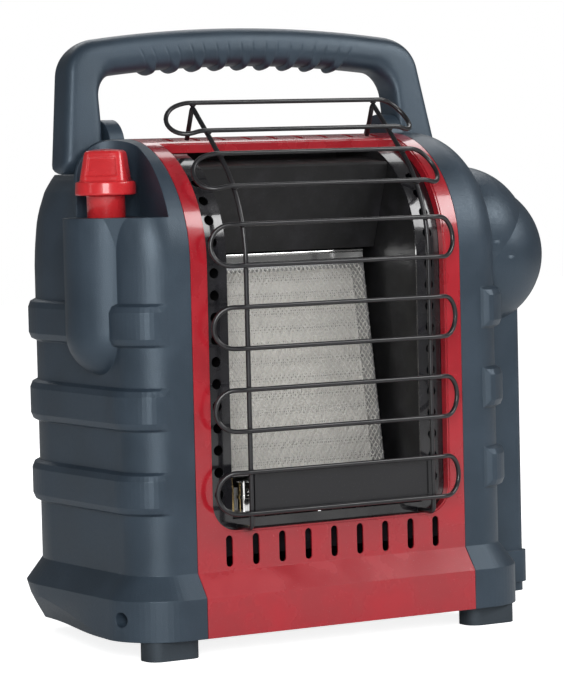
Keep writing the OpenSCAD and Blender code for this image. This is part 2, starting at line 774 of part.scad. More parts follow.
// ---------- pilot ----------
pilot_x = -52;
pilot_y = 20;
spark_x = pilot_x + 12;
probe_x = pilot_x - 10;
module pilot_bracket() {
  place() color(steel) difference() {
    union() {
      block([probe_x - 5, pilot_y - 6, fire_floor], [spark_x + 6, pilot_y + 6.7, fire_floor + 1.2]);
      block([pilot_x - 8, pilot_y + 5.5, fire_floor], [pilot_x + 8, pilot_y + 6.7, fire_floor + 15]);
    }
    rod_z(0, 120, pilot_x, pilot_y, 3);
    rod_z(0, 120, spark_x, pilot_y, 1.9);
    rod_z(0, 120, probe_x, pilot_y, 2.4);
  }
}
module pilot_burner() {
  place() color(steel) difference() {
    union() {
      rod_z(fire_floor + 1.2, 101, pilot_x, pilot_y, 4.6);
      rod_z(fire_floor + 9, fire_floor + 11, pilot_x, pilot_y, 5.2);
      rod_z(fire_floor - 8, fire_floor + 1.3, pilot_x, pilot_y, 2.8);
    }
    rod_z(fire_floor + 4, 102, pilot_x, pilot_y, 3.4);
    rod_y(0, 40, pilot_x, 96, 1.2);
  }
}
module thermocouple() {
  place() color(brass) {
    rod_z(fire_floor - 8, 99, probe_x, pilot_y, 2.2);
    rod_z(99, 104, probe_x, pilot_y, 1.6);
  }
}
module spark_electrode() {
  place() color([0.92, 0.9, 0.85]) {
    rod_z(fire_floor - 8, 96, spark_x, pilot_y, 1.7);
    rod_z(96, 102, spark_x, pilot_y, 0.8);
    rod_z(fire_floor + 1.3, fire_floor + 5, spark_x, pilot_y, 3);
  }
}

// ---------- valve, knob and igniter, in the tower at the left ----------
valve_top = ledge_z - 33;
collar_z = ledge_z - 16;            // underside of the push collar
knob_bottom = ledge_z + 13.5;       // underside of the knob skirt
knob_turn = -40;                    // the knob's flat front is turned towards the user's left
piezo_off = 16.5;
module at_knob() { translate([-knob_x, knob_y, 0]) children(); }
module gas_valve() {
  place() color(brass) at_knob() difference() {
    union() {
      rod_z(valve_top - 42, valve_top, 0, 0, 9.4);
      difference() {
        rod_z(valve_top - 30, valve_top - 26, 0, 0, tower_r - wall - gap);
        rod_z(valve_top - 40, valve_top, 0, piezo_off, 6 + gap);
      }
      rod_x(0, 22, 0, valve_top - 36, 5);
      rod_y(-18, 0, 0, valve_top - 37, 4.5);
      rod_z(valve_top - 50, valve_top - 42, 0, 0, 5.5, $fn = 6);
    }
    rod_z(valve_top - 20, valve_top + 1, 0, 0, stem_r + run);
  }
}
module valve_stem() {
  place() color(steel) at_knob() rod_z(valve_top - 14, knob_bottom + 12, 0, 0, stem_r);
}
module control_knob() {
  place() color([0.80, 0.10, 0.12]) at_knob() difference() {
    union() {
      rod_z(collar_z + 4.2, knob_bottom + 1, 0, 0, knob_neck_r);
      rotate_extrude($fn = 64) {
        translate([0, knob_bottom]) square([knob_r, 7]);
        translate([0, knob_bottom + 7]) square([knob_r - 1.2, 1.2]);
        translate([knob_r - 1.2, knob_bottom + 7]) circle(r = 1.2, $fn = 24);
      }
      rotate([0, 0, knob_turn]) hull() {
        translate([0, 0, knob_bottom + 7]) linear_extrude(1)
          rounded2d(-14.6, -14.6, 14.6, 14.6, 8, $fn = 32);
        translate([0, 0, knob_bottom + 27]) linear_extrude(1)
          rounded2d(-11, -8.6, 11, 11, 5, $fn = 32);
      }
    }
    rod_z(collar_z - 1, knob_bottom + 12.2, 0, 0, stem_r + 0.02);
  }
}
module push_collar() {
  place() color([0.3, 0.3, 0.3]) at_knob() difference() {
    rod_z(collar_z, collar_z + 4, 0, 0, tower_r - wall - 0.6);
    rod_z(collar_z - 1, collar_z + 5, 0, 0, stem_r + 0.4);
  }
}
// Coil spring along a helix, eight rings to a turn
spring_r = 7;
spring_wire = 0.8;
spring_turns = 4;
module knob_spring() {
  low = valve_top + spring_wire + gap;
  high = collar_z - spring_wire - gap;
  echo(least_gap_between_turns = (high - low) / spring_turns - 2 * spring_wire);
  rings = spring_turns * 8;
  place() color(steel) at_knob()
    tube([for (i = [0:rings])
      [spring_r * cos(i * 45), spring_r * sin(i * 45), low + (high - low) * i / rings]],
      spring_wire, 6, false);
}
module piezo_igniter() {
  place() color(black) at_knob() difference() {
    union() {
      rod_z(valve_top - 40, valve_top + 4, 0, piezo_off, 6);
      rod_z(valve_top - 46, valve_top - 40, 0, piezo_off, 2.5);
    }
    rod_z(valve_top - 8, valve_top + 5, 0, piezo_off, 2.6 + run);
  }
}
module piezo_plunger() {
  place() color(steel) at_knob() rod_z(valve_top - 3, collar_z, 0, piezo_off, 2.6);
}

// ---------- pipes and lead ----------
module between(a, b, r) {
  v = b - a;
  n = norm(v);
  translate(a) rotate([0, acos(v[2] / n), atan2(v[1], v[0])]) cylinder(r = r, h = n);
}
module pipe(route, r) {
  for (i = [0:len(route) - 2]) between(route[i], route[i + 1], r);
  for (i = [1:len(route) - 2]) translate(route[i]) sphere(r = r, $fn = 24);
}
bay_in = cylinder_x - bay_r;
elbow_x = bay_in - wall - 7.8;
pipe_floor = base_z + 22;
pipe_low = fire_floor - 16;         // height of the pilot pipe under the firebox
pipe_back = body_depth - 47;        // where the inlet pipe crosses behind the firebox
drop_x = panel_half - 13.5;         // where the burner pipe goes down beside the firebox
turn_x = panel_half - 31.5;         // where it turns back towards the venturi
module burner_pipe() {
  z = valve_top - 36;
  place() color(steel) pipe([[-knob_x + 22, knob_y, z], [-drop_x, knob_y, z],
    [-drop_x, knob_y, pipe_floor + 8], [turn_x, knob_y, pipe_floor + 8],
    [turn_x, venturi_y, pipe_floor + 8], [turn_x, venturi_y, venturi_z],
    [venturi_end + 24, venturi_y, venturi_z]], 2.6);
}
module pilot_pipe() {
  z = valve_top - 37;
  y = knob_y - 22;
  x = panel_half + 5.5;
  place() color(steel) pipe([[-knob_x, y + 4, z], [-knob_x, y, z], [-x, y, z], [-x, y, pipe_low],
    [pilot_x, y, pipe_low], [pilot_x, pilot_y, pipe_low], [pilot_x, pilot_y, fire_floor - 8]], 1.6);
}
module inlet_pipe() {
  z = valve_top - 62;
  place() color(steel) pipe([[-knob_x, knob_y, z + 12], [-knob_x, knob_y, z], [-elbow_x, knob_y, z],
    [-elbow_x, pipe_back, z], [-elbow_x, pipe_back, pipe_low - 6], [elbow_x, pipe_back, pipe_low - 6],
    [elbow_x, pipe_back, swivel_z - 20], [elbow_x, cylinder_y, swivel_z - 20],
    [elbow_x, cylinder_y, swivel_z - 9.5]], 2.8);
}
lead_route = [[-knob_x, 65.5, 186], [-knob_x, 65.5, 182.5], [-125, 66, 179], [-119, 68, 176],
  [-112, 71, 171], [-106, 74, 164], [-103, 76, 154], [-102, 77, 142], [-101, 76, 126], [-100, 72, 110],
  [-100, 64, 92], [-98, 52, 78], [-92, 42, 70], [-82, 36, 66], [-70, 32, 62], [-58, 29, 59],
  [-48, 25, 58], [-42, 21, 60], [-40, 20, 66], [-40, 20, 74]];
module spark_lead() {
  place() color([0.75, 0.25, 0.15]) tube(lead_route, 1.4, 8, false);
}

// ---------- regulator under the dome ----------
module swivel_fitting() {
  place() color(brass) difference() {
    union() {
      rod_x(elbow_x + 1, bay_in + 6, cylinder_y, swivel_z, 9);
      rod_x(bay_in + gap, bay_in + 6, cylinder_y, swivel_z, 12, $fn = 6);
      block([elbow_x - 4, cylinder_y - 7, swivel_z - 9.5], [elbow_x + 4, cylinder_y + 7, swivel_z + 7]);
    }
    rod_x(elbow_x + 3, bay_in + 7, cylinder_y, swivel_z, 6 + run);
  }
}
module swivel_seal() {
  place() color(black) translate([bay_in + 8, cylinder_y, swivel_z]) rotate([0, 90, 0])
    rotate_extrude() translate([7.7, 0]) circle(r = 1.5, $fn = 24);
}
reg_x0 = cylinder_x - 11;
reg_x1 = cylinder_x + 11;
socket_z = swivel_z - 19;
module regulator_body() {
  place() color([0.62, 0.62, 0.64]) difference() {
    union() {
      rod_x(reg_x0, reg_x1, cylinder_y, swivel_z, 18.5);
      rod_x(bay_in - 2, reg_x0 + 2, cylinder_y, swivel_z, 6);
      rod_x(bay_in + 12, reg_x0 + 2, cylinder_y, swivel_z, 9);
      rod_z(socket_z, swivel_z, cylinder_x, cylinder_y, 10.9);
    }
    rod_z(socket_z - 1, socket_z + 6, cylinder_x, cylinder_y, 5);
  }
}
module regulator_cover() {
  place() color([0.62, 0.62, 0.64]) translate([reg_x1, cylinder_y, swivel_z]) rotate([0, 90, 0])
    rotate_extrude() {
      square([15, 2.5]);
      square([10, 4.5]);
    }
}
module cylinder_socket() {
  place() color(brass) difference() {
    union() {
      rod_z(socket_z - thread_depth - 1, socket_z, cylinder_x, cylinder_y, 15.5);
      for (a = [0:15:345]) translate([cylinder_x, cylinder_y, 0]) rotate([0, 0, a])
        block([14, -0.9, socket_z - 12], [16.3, 0.9, socket_z - 3]);
    }
    rod_z(socket_z - thread_depth - 2, socket_z - 1, cylinder_x, cylinder_y, thread_r);
    rod_z(socket_z - 2, socket_z + 1, cylinder_x, cylinder_y, 5);
  }
}
module socket_seal() {
  place() color(black) translate([cylinder_x, cylinder_y, socket_z + 3]) rotate_extrude()
    translate([3.5, 0]) circle(r = 1.3, $fn = 24);
}

// ---------- tip-over switch ----------
tip_x = panel_half - 19.5;
tip_y = 96;
tip_floor = base_z + 2.5;
ball_r = 5;
module tip_switch() {
  place() color(black) difference() {
    block([tip_x - 10, tip_y - 10, tip_floor], [tip_x + 10, tip_y + 10, tip_floor + 22]);
    rod_z(tip_floor + 3 + ball_r, tip_floor + 19, tip_x, tip_y, ball_r + 0.6);
    translate([tip_x, tip_y, tip_floor + 3]) cylinder(r1 = 1, r2 = ball_r + 0.6, h = ball_r);
  }
}
module tip_ball() {
  place() color(steel) translate([tip_x, tip_y, tip_floor + 5.3 + ball_r]) sphere(r = ball_r);
}

// ---------- fasteners ----------
module screw(r, head, length) {
  difference() {
    union() {
      translate([0, 0, -length]) cylinder(r = r, h = length + e);
      cylinder(r = head, h = 1.8);
    }
    for (a = [0, 90]) rotate([0, 0, a]) translate([-head * 0.6, -0.4, 0.9]) cube([head * 1.2, 0.8, 2]);
  }
}
module rear_screws() {
  place() color(steel) for (s = [-1, 1], z = [40, 150, 225])
    translate([s * (panel_half - 7), body_depth + e, z]) rotate([-90, 0, 0]) screw(1, 3.4, 0.005);
}
module housing_screws() {
  place() color(steel) for (s = [0, 1]) mirror([s, 0, 0])
    translate([body_half - 2 + e, screw_y, screw_z]) rotate([0, 90, 0]) screw(1, screw_head_r, 0.005);
}
module foot_screws() {
  place() color(steel) for (s = [0, 1], at = [[foot_front_x, foot_front_y], [foot_rear_x, foot_rear_y]])
    mirror([s, 0, 0]) translate([at[0], at[1], base_z - 3]) mirror([0, 0, 1]) screw(1.9, 3.6, 5);
}

left_housing();
right_housing();
front_panel();
rear_panel();
base_pan();
foot_front_left();
foot_front_right();
foot_rear_left();
foot_rear_right();
carry_handle();
handle_pins();
guard_loops();
guard_uprights();
guard_plate();
firebox_frame();
firebox_liner();
heat_deflector();
reflector_strip();
burner_screen();
ceramic_tile();
burner_plenum();
venturi_tube();
gas_orifice();
pilot_bracket();
pilot_burner();
thermocouple();
spark_electrode();
gas_valve();
valve_stem();
control_knob();
push_collar();
knob_spring();
piezo_igniter();
piezo_plunger();
spark_lead();
burner_pipe();
pilot_pipe();
inlet_pipe();
swivel_fitting();
swivel_seal();
regulator_body();
regulator_cover();
cylinder_socket();
socket_seal();
tip_switch();
tip_ball();
rear_screws();
housing_screws();
foot_screws();
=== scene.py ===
# %% [markdown]
# # A portable propane heater
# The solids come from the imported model, which fixes every size and every joint. This file
# dresses them: it gives each piece its finish, softens the two housings, and builds the
# fine pieces that a solid can't show, such as the woven screen in front of the burner and
# the smooth wires of the guard. The scene is in metres, with Z up and the fire front facing
# -Y; lengths inside a cell are in millimetres.

# %% Load the solids
import json
import bmesh
import bpy
import numpy as np
from mathutils import Matrix, Vector


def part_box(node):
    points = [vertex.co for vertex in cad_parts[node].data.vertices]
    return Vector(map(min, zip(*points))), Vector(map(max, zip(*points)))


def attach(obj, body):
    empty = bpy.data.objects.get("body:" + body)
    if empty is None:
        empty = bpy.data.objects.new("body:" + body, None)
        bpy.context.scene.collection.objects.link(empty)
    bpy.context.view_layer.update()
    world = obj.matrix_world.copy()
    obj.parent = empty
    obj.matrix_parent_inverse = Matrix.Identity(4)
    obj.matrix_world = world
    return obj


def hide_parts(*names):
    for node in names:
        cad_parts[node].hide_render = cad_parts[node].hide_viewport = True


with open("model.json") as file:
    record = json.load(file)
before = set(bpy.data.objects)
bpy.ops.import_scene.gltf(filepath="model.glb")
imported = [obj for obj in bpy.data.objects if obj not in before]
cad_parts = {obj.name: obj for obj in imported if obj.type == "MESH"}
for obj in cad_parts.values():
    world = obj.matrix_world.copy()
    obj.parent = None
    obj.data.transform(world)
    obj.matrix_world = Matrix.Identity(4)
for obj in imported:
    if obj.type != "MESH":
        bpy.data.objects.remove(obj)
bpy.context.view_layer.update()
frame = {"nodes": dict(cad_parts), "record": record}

# %% [markdown]
# ## Where things are
# Most pieces are easier to describe from the middle of the red panel's face than from the
# middle of the whole heater. The next cell measures that place once, and `place` turns
# millimetres to the right, behind the face and above the floor into the model's metres.

# %% Measure the body's own origin
panel_low, panel_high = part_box("front_panel")
FLARE = 10.4                       # how far the foot band stands out in front, in mm
MIDDLE = np.array([(panel_low.x + panel_high.x) / 2, panel_low.y + FLARE / 1000, 0.0])


def place(points):
    """Row-frame metres of points given in mm from the middle of the panel's face."""
    return np.asarray(points, float) / 1000 + MIDDLE


print("middle of the panel face", np.round(MIDDLE, 4))

# %% [markdown]
# ## The camera
# The heater was photographed from its left front, from a little above its middle and from
# about two metres away, so that its edges hardly converge. A long lens gives the same
# picture. The camera is built from its three axes: where it looks, its right and its up,
# with the slight roll of the photograph turned into the last two.

# %% Build the camera
HEADING, TILT, ROLL = 0.5509, 0.0607, 0.0238          # radians
DISTANCE, FOCAL_PIXELS, PICTURE_HEIGHT = 2.06891, 3400.79, 686
AIM = (-34.61, 0, 185.93)
SENSOR = 36                                           # mm, the height of the picture

ahead = Vector((np.sin(HEADING) * np.cos(TILT), np.cos(HEADING) * np.cos(TILT), -np.sin(TILT)))
sideways = Vector((np.cos(HEADING), -np.sin(HEADING), 0))
above = sideways.cross(ahead)
right = sideways * np.cos(ROLL) - above * np.sin(ROLL)
up = sideways * np.sin(ROLL) + above * np.cos(ROLL)
lens = bpy.data.cameras.new("camera")
lens.sensor_fit, lens.sensor_height, lens.sensor_width = "VERTICAL", SENSOR, SENSOR
lens.lens = FOCAL_PIXELS * SENSOR / PICTURE_HEIGHT
camera = bpy.data.objects.new("camera", lens)
camera.matrix_world = Matrix.Translation(Vector(place(AIM)) - ahead * DISTANCE) @ Matrix(
    (right, up, -ahead)).transposed().to_4x4()
bpy.context.scene.collection.objects.link(camera)
bpy.context.scene.camera = camera
print("lens", round(lens.lens, 1), "mm at", np.round(camera.location, 3))

# %% [markdown]
# ## Shader arithmetic
# A procedural finish is mostly arithmetic on patterns. Wiring that up by hand hides the
# sum that is meant, so a small class wraps a node's output and lets Python's own operators
# add the Math nodes. `Finish` holds one material and makes any other node by its type.

# %% A socket that does sums
class Wire:
    """One output of a node; + - and * with numbers or other wires add Math nodes."""

    def __init__(self, finish, socket):
        self.finish, self.socket = finish, socket

    def _sum(self, operation, a, b):
        return self.finish.node("ShaderNodeMath", {"operation": operation}, {0: a, 1: b})

    def __add__(self, other): return self._sum("ADD", self, other)
    def __radd__(self, other): return self._sum("ADD", other, self)
    def __sub__(self, other): return self._sum("SUBTRACT", self, other)
    def __rsub__(self, other): return self._sum("SUBTRACT", other, self)
    def __mul__(self, other): return self._sum("MULTIPLY", self, other)
    def __rmul__(self, other): return self._sum("MULTIPLY", other, self)


class Finish:
    """A material in the making, with a Principled shader and the nodes that feed it."""

    def __init__(self, name, **fixed):
        self.material = bpy.data.materials.new(name)
        self.material.use_nodes = True
        self.tree = self.material.node_tree
        self.shader = self.tree.nodes["Principled BSDF"]
        self.position = self.node("ShaderNodeTexCoord", output="Object")
        for socket, value in fixed.items():
            self.shader.inputs[socket.replace("_", " ")].default_value = value

    def node(self, kind, settings=None, values=None, output=0):
        """Any node: its settings first, then a number, colour or wire for each socket."""
        made = self.tree.nodes.new(kind)
        for key, value in (settings or {}).items():
            setattr(made, key, value)
        for key, value in (values or {}).items():
            if isinstance(value, Wire):
                self.tree.links.new(value.socket, made.inputs[key])
            else:
                made.inputs[key].default_value = value
        return Wire(self, made.outputs[output])

    def feed(self, socket, wire):
        """Let a wire drive one input of the Principled shader."""
        self.tree.links.new(wire.socket, self.shader.inputs[socket])

    def noise(self, millimetres, detail=3, roughness=0.55, stretch=(1, 1, 1)):
        """Cloudy pattern from 0 to 1 whose patches are about this many mm across."""
        at = self.node("ShaderNodeMapping", values={"Vector": self.position, "Scale": stretch})
        return self.node("ShaderNodeTexNoise", values={
            "Vector": at, "Scale": 1000 / millimetres, "Detail": detail, "Roughness": roughness})

    def cells(self, millimetres, feature="F1", randomness=1.0):
        """Distance in a cellular pattern whose cells are about this many mm across."""
        return self.node("ShaderNodeTexVoronoi", {"feature": feature}, {
            "Vector": self.position, "Scale": 1000 / millimetres, "Randomness": randomness},
            output="Distance")

    def ramp(self, wire, low, high, from_=0.0, to=1.0):
        """Number that runs smoothly from `low` to `high` as the wire goes from_ to to."""
        return self.node("ShaderNodeMapRange", {"interpolation_type": "SMOOTHSTEP"}, {
            "Value": wire, "From Min": from_, "From Max": to, "To Min": low, "To Max": high})

    def mix(self, factor, a, b):
        """Colour between a and b; a colour Mix node has them at inputs 6 and 7."""
        return self.node("ShaderNodeMix", {"data_type": "RGBA"}, {0: factor, 6: a, 7: b}, output=2)

    def bump(self, height, millimetres, strength=1.0, onto=None):
        """Normal of a surface whose height goes up by this many mm where the wire is 1."""
        values = {"Height": height, "Distance": millimetres / 1000, "Strength": strength}
        if onto is not None:
            values["Normal"] = onto
        return self.node("ShaderNodeBump", values=values)

    def rounded(self, millimetres):
        """Normal that softens the solid's sharp edges as a mould or a press does."""
        return self.node("ShaderNodeBevel", {"samples": 4}, {"Radius": millimetres / 1000})


def rgb(red, green, blue):
    """Opaque colour from three linear values."""
    return (red, green, blue, 1.0)


def shaded(colour, times, plus=0.0):
    """A colour made darker or paler by a factor, with an optional lift."""
    return rgb(*(c * times + plus for c in colour))


def between(limits, wire):
    """Value from the first limit to the second as the wire goes from 0 to 1."""
    return limits[0] + (limits[1] - limits[0]) * wire


print("shader helpers ready")

# %% [markdown]
# ## Moulded plastic
# The housings and the handle are blue-grey polypropylene with a leather-like grain that was
# etched into the mould. Seen close, the grain is a net of small pads with fine valleys
# between them; seen from afar it breaks up each highlight. The distance to the edge of a
# Voronoi cell gives the pads, which the bump raises; the colour darkens the valleys as
# painted shade. The highlights of such plastic look blue, so its specular tint is blue too.

# %% Grained plastic
def moulded(name, colour, grain=0.9, depth=0.05, gloss=(0.34, 0.52), edge=0.8):
    """Plastic with an etched grain: pads `grain` mm wide and `depth` mm high, a roughness
    between the two of `gloss`, and edges rounded by `edge` mm."""
    f = Finish(name, Specular_IOR_Level=0.8, Specular_Tint=(0.72, 0.87, 1, 1))
    wander = f.noise(2.4 * grain, 2)
    pads = f.cells(grain, "DISTANCE_TO_EDGE")
    net = f.ramp(pads, 0, 1, 0.02, 0.32) * (0.65 + 0.35 * wander)
    shade = f.ramp(f.noise(38, 4), 0, 1, 0.3, 0.7)
    scuff = f.ramp(f.noise(7, 5, stretch=(1, 1, 0.35)), 0, 1, 0.62, 0.8)
    tone = f.mix(shade, shaded(colour, 0.84), shaded(colour, 1.18, 0.004))
    tone = f.mix(scuff * 0.35, tone, shaded(colour, 1.5, 0.008))
    # painted shade: the grain's valleys get a darker colour, as if light fell less into them
    f.feed("Base Color", f.mix((1 - net) * 0.35, tone, shaded(colour, 0.6)))
    f.feed("Roughness", between(gloss, 0.6 * wander + 0.4 * shade))
    f.feed("Normal", f.bump(net, depth, 0.75, f.rounded(edge)))
    return f.material


# %% [markdown]
# ## Enamel and paint
# The red panel and the black firebox are sheet steel under a baked enamel. Such a coat is
# smooth but never flat: it has a faint orange peel a few millimetres wide, and in the fire
# it dulls in clouds. A clear coat over a rougher colour layer gives the sharp highlight on
# top of a soft one.

# %% Baked enamel
def enamel(name, colour, coat=1.0, rough=(0.22, 0.36), peel=0.012, edge=0.5, soot=0.0):
    """Paint on sheet steel with orange peel `peel` mm high and an optional sooty bloom."""
    f = Finish(name, Coat_Roughness=0.06, Coat_IOR=1.5)
    waves = f.noise(3.2, 2, 0.4)
    cloud = f.ramp(f.noise(30, 4), 0, 1, 0.35, 0.7)
    specks = f.ramp(f.noise(0.8, 2), 0, 1, 0.66, 0.74)
    tone = f.mix(cloud, shaded(colour, 0.9), shaded(colour, 1.08))
    tone = f.mix(specks * 0.12, tone, rgb(0.3, 0.29, 0.28))
    if soot:
        bloom = f.ramp(f.noise(16, 5, 0.7), 0, 1, 0.45, 0.75)
        tone = f.mix(bloom * soot, tone, rgb(0.03, 0.028, 0.035))
    f.feed("Base Color", tone)
    f.feed("Roughness", between(rough, cloud) + 0.1 * specks)
    f.feed("Coat Weight", coat * (1 - 0.25 * cloud))
    f.feed("Normal", f.bump(waves, peel, 0.8, f.rounded(edge)))
    return f.material


# %% [markdown]
# ## Bare metals
# Rolled sheet, drawn pipe, brass fittings and polished strips are all the same recipe with
# other colours: the metal is brightest where it was rubbed, and fine marks run along the
# way it was worked. Noise stretched along one axis draws those marks.

# %% Worked metal
def metal(name, colour, rough=(0.2, 0.4), marks=(1, 1, 12), depth=0.004, tarnish=0.3, edge=0.3):
    """Bare metal whose marks are squeezed by `marks` along X, Y and Z."""
    f = Finish(name, Metallic=1.0)
    streaks = f.noise(2.5, 4, stretch=marks)
    cloud = f.ramp(f.noise(12, 4), 0, 1, 0.35, 0.72)
    f.feed("Base Color", f.mix(cloud * tarnish, rgb(*colour), shaded(colour, 0.55)))
    f.feed("Roughness", between(rough, 0.6 * streaks + 0.4 * cloud))
    f.feed("Normal", f.bump(streaks, depth, 0.6, f.rounded(edge)))
    return f.material


# %% [markdown]
# ## Ceramic and rubber
# The burner tile is a pale honeycomb ceramic with over a thousand tiny flame holes, painted
# dark inside as shade, and heat has stained it unevenly. The insulator of the spark electrode
# is the same family of clay with a glaze. The seals are plain dull rubber with a moulded skin.

# %% Ceramic, glaze and rubber
def honeycomb(name, colour, pitch=1.6):
    """Ceramic pierced by a close pattern of holes `pitch` mm apart, whose insides are darkened as
    painted shade.
    """
    f = Finish(name, Roughness=0.9)
    holes = f.ramp(f.cells(pitch, randomness=0.15), 1, 0, 0.18, 0.34)
    stain = f.ramp(f.noise(22, 4), 0, 1, 0.3, 0.75)
    grain = f.noise(0.5, 3)
    tone = f.mix(stain, rgb(*colour), shaded(colour, 0.82))
    tone = f.mix(grain * 0.25, tone, shaded(colour, 0.7))
    # painted shade: the colour goes dark in the flame holes, where light does not reach
    f.feed("Base Color", f.mix(holes * 0.7, tone, shaded(colour, 0.25)))
    f.feed("Normal", f.bump(1 - holes, 0.5, 0.8, f.bump(grain, 0.05, 0.5)))
    return f.material


def glazed(name, colour):
    """White glazed ceramic with faint specks."""
    f = Finish(name, Coat_Weight=0.8, Coat_Roughness=0.08)
    specks = f.ramp(f.noise(1.2, 3), 0, 1, 0.6, 0.72)
    f.feed("Base Color", f.mix(specks * 0.3, rgb(*colour), rgb(0.4, 0.34, 0.26)))
    f.feed("Roughness", 0.25 + 0.2 * f.noise(3))
    f.feed("Normal", f.bump(f.noise(2), 0.02, 0.5))
    return f.material


def rubber(name, colour):
    """Dull elastomer with a pebbled skin."""
    f = Finish(name, Specular_IOR_Level=0.35)
    skin = f.noise(0.6, 3)
    bloom = f.ramp(f.noise(5, 3), 0, 1, 0.4, 0.7)
    f.feed("Base Color", f.mix(bloom * 0.5, rgb(*colour), shaded(colour, 1.8)))
    f.feed("Roughness", 0.6 + 0.25 * skin)
    f.feed("Normal", f.bump(skin, 0.03, 0.6))
    return f.material


# %% [markdown]
# ## One finish for each slot
# The record gives every solid a material slot. Each slot gets one finish here, named for what
# the piece is made of. Two pieces inside the firebox share the slot of its frame; heat has dulled
# them, so their own finish is rougher, and its darker colour is painted shade inside the firebox.

# %% Make the finishes
finishes = {
    "housing_plastic": moulded("housing_plastic", (0.026, 0.041, 0.060)),
    "foot_plastic": moulded("foot_plastic", (0.024, 0.030, 0.037), gloss=(0.5, 0.7)),
    "case_plastic": moulded("case_plastic", (0.02, 0.02, 0.022), 0.6, 0.03, (0.4, 0.55), 0.4),
    "lead_sleeve": moulded("lead_sleeve", (0.42, 0.07, 0.03), 0.5, 0.02, (0.45, 0.6), 0.2),
    "knob_red": enamel("knob_red", (0.62, 0.022, 0.028), 0.6, (0.24, 0.34), 0.006, 0.9),
    "red_paint": enamel("red_paint", (0.40, 0.010, 0.020), 0.8, (0.2, 0.34)),
    "black_enamel": enamel("black_enamel", (0.010, 0.010, 0.012), 0.9, (0.14, 0.3), 0.02, 0.4,
                           soot=0.5),
    # painted shade: a darker copy of the black enamel for the shaded inside of the firebox; heat
    # dulling gives its roughness
    "liner_enamel_painted_shade": enamel("liner_enamel_painted_shade", (0.004, 0.004, 0.0045), 0.05, (0.5, 0.7), 0.02, 0.4,
                           soot=0.4),
    "guard_enamel": enamel("guard_enamel", (0.011, 0.011, 0.013), 0.3, (0.3, 0.45), 0.01, 0.1),
    "zinc_steel": metal("zinc_steel", (0.55, 0.55, 0.56), (0.3, 0.5), (1, 3, 3), 0.01),
    "bright_steel": metal("bright_steel", (0.80, 0.80, 0.79), (0.06, 0.16), (9, 1, 1), 0.002, 0.12),
    "screen_wire": metal("screen_wire", (0.80, 0.79, 0.76), (0.4, 0.6), (2, 2, 2), 0.004, 0.2,
                         edge=0.05),
    "brass": metal("brass", (0.75, 0.55, 0.24), (0.18, 0.34), (6, 1, 1), 0.004, 0.4),
    "die_cast": metal("die_cast", (0.58, 0.58, 0.60), (0.38, 0.58), (1, 1, 1), 0.03, 0.3, 0.6),
    "aluminium_pipe": metal("aluminium_pipe", (0.75, 0.75, 0.76), (0.24, 0.4), (1, 1, 6), 0.004),
    "spring_steel": metal("spring_steel", (0.50, 0.50, 0.51), (0.2, 0.36), (1, 1, 8), 0.004),
    "tile_ceramic": honeycomb("tile_ceramic", (0.86, 0.84, 0.79)),
    "white_ceramic": glazed("white_ceramic", (0.82, 0.80, 0.75)),
    "seal_rubber": rubber("seal_rubber", (0.018, 0.018, 0.018)),
}
OWN_FINISH = {"firebox_liner": "liner_enamel_painted_shade", "heat_deflector": "liner_enamel_painted_shade"}
slots = {part["node"]: part["material_slot"] for part in frame["record"]["subparts"]}
for name, solid in frame["nodes"].items():
    solid.data.materials.clear()
    solid.data.materials.append(finishes[OWN_FINISH.get(name, slots[name])])
print(len(finishes), "finishes on", len(slots), "solids")

# %% [markdown]
# ## Surfaces from arrays
# A swept tube, a lofted knob and a woven wire are all grids of points: one direction runs
# along the piece and the other round it. `grid` numbers the faces of such a grid, and
# `piece` turns points and faces into an object that rides on one of the model's bodies.

# %% Grids and pieces
def grid(rows, columns, closed=False):
    """Quads of a grid whose points are numbered row by row. Each row closes on itself, and
    the last row joins the first if the grid is closed."""
    r = np.arange(rows if closed else rows - 1)[:, None]
    c = np.arange(columns)[None, :]
    r2, c2 = (r + 1) % rows, (c + 1) % columns
    corners = (r * columns + c, r * columns + c2, r2 * columns + c2, r2 * columns + c)
    return np.stack(np.broadcast_arrays(*corners), -1).reshape(-1, 4)


def end_caps(rows, columns):
    """Flat faces over the first and the last row of a grid."""
    first = np.arange(columns)
    return [first[None, ::-1], (first + (rows - 1) * columns)[None]]


def dressed(mesh, finish, body, node):
    """Smooth-shaded object of this mesh, which replaces one solid and rides on its body."""
    mesh.polygons.foreach_set("use_smooth", np.full(len(mesh.polygons), True))
    mesh.materials.clear()
    mesh.materials.append(finishes[finish])
    made = bpy.data.objects.new(mesh.name, mesh)
    bpy.context.scene.collection.objects.link(made)
    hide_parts(node)
    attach(made, body)
    print(mesh.name, len(mesh.vertices), "points", len(mesh.polygons), "faces")


def piece(name, points, faces, finish, body, node):
    """Object made of an array of points (mm from the panel's face) and lists of faces."""
    mesh = bpy.data.meshes.new(name)
    mesh.from_pydata(place(points).tolist(), [], [f for part in faces for f in part.tolist()])
    dressed(mesh, finish, body, node)


def unit(vectors):
    """The same directions with length 1."""
    return vectors / np.linalg.norm(vectors, axis=-1, keepdims=True)


def tube(path, radius, sides=12, closed=False, reference=(0.31, 0.93, 0.2)):
    """Points and faces of a round tube: at each point of the path, a circle of the radius
    in the plane across the path, plus flat caps unless the path is closed."""
    path = np.asarray(path, float)
    if closed:
        along = unit(np.roll(path, -1, 0) - np.roll(path, 1, 0))
    else:
        along = unit(np.gradient(path, axis=0))
    side = unit(np.cross(along, reference))
    other = np.cross(along, side)
    angle = np.linspace(0, 2 * np.pi, sides, endpoint=False)[None, :, None]
    circle = np.cos(angle) * side[:, None] + np.sin(angle) * other[:, None]
    points = path[:, None] + radius * circle
    faces = [grid(len(path), sides, closed=closed)]
    if not closed:
        faces += end_caps(len(path), sides)
    return points.reshape(-1, 3), faces


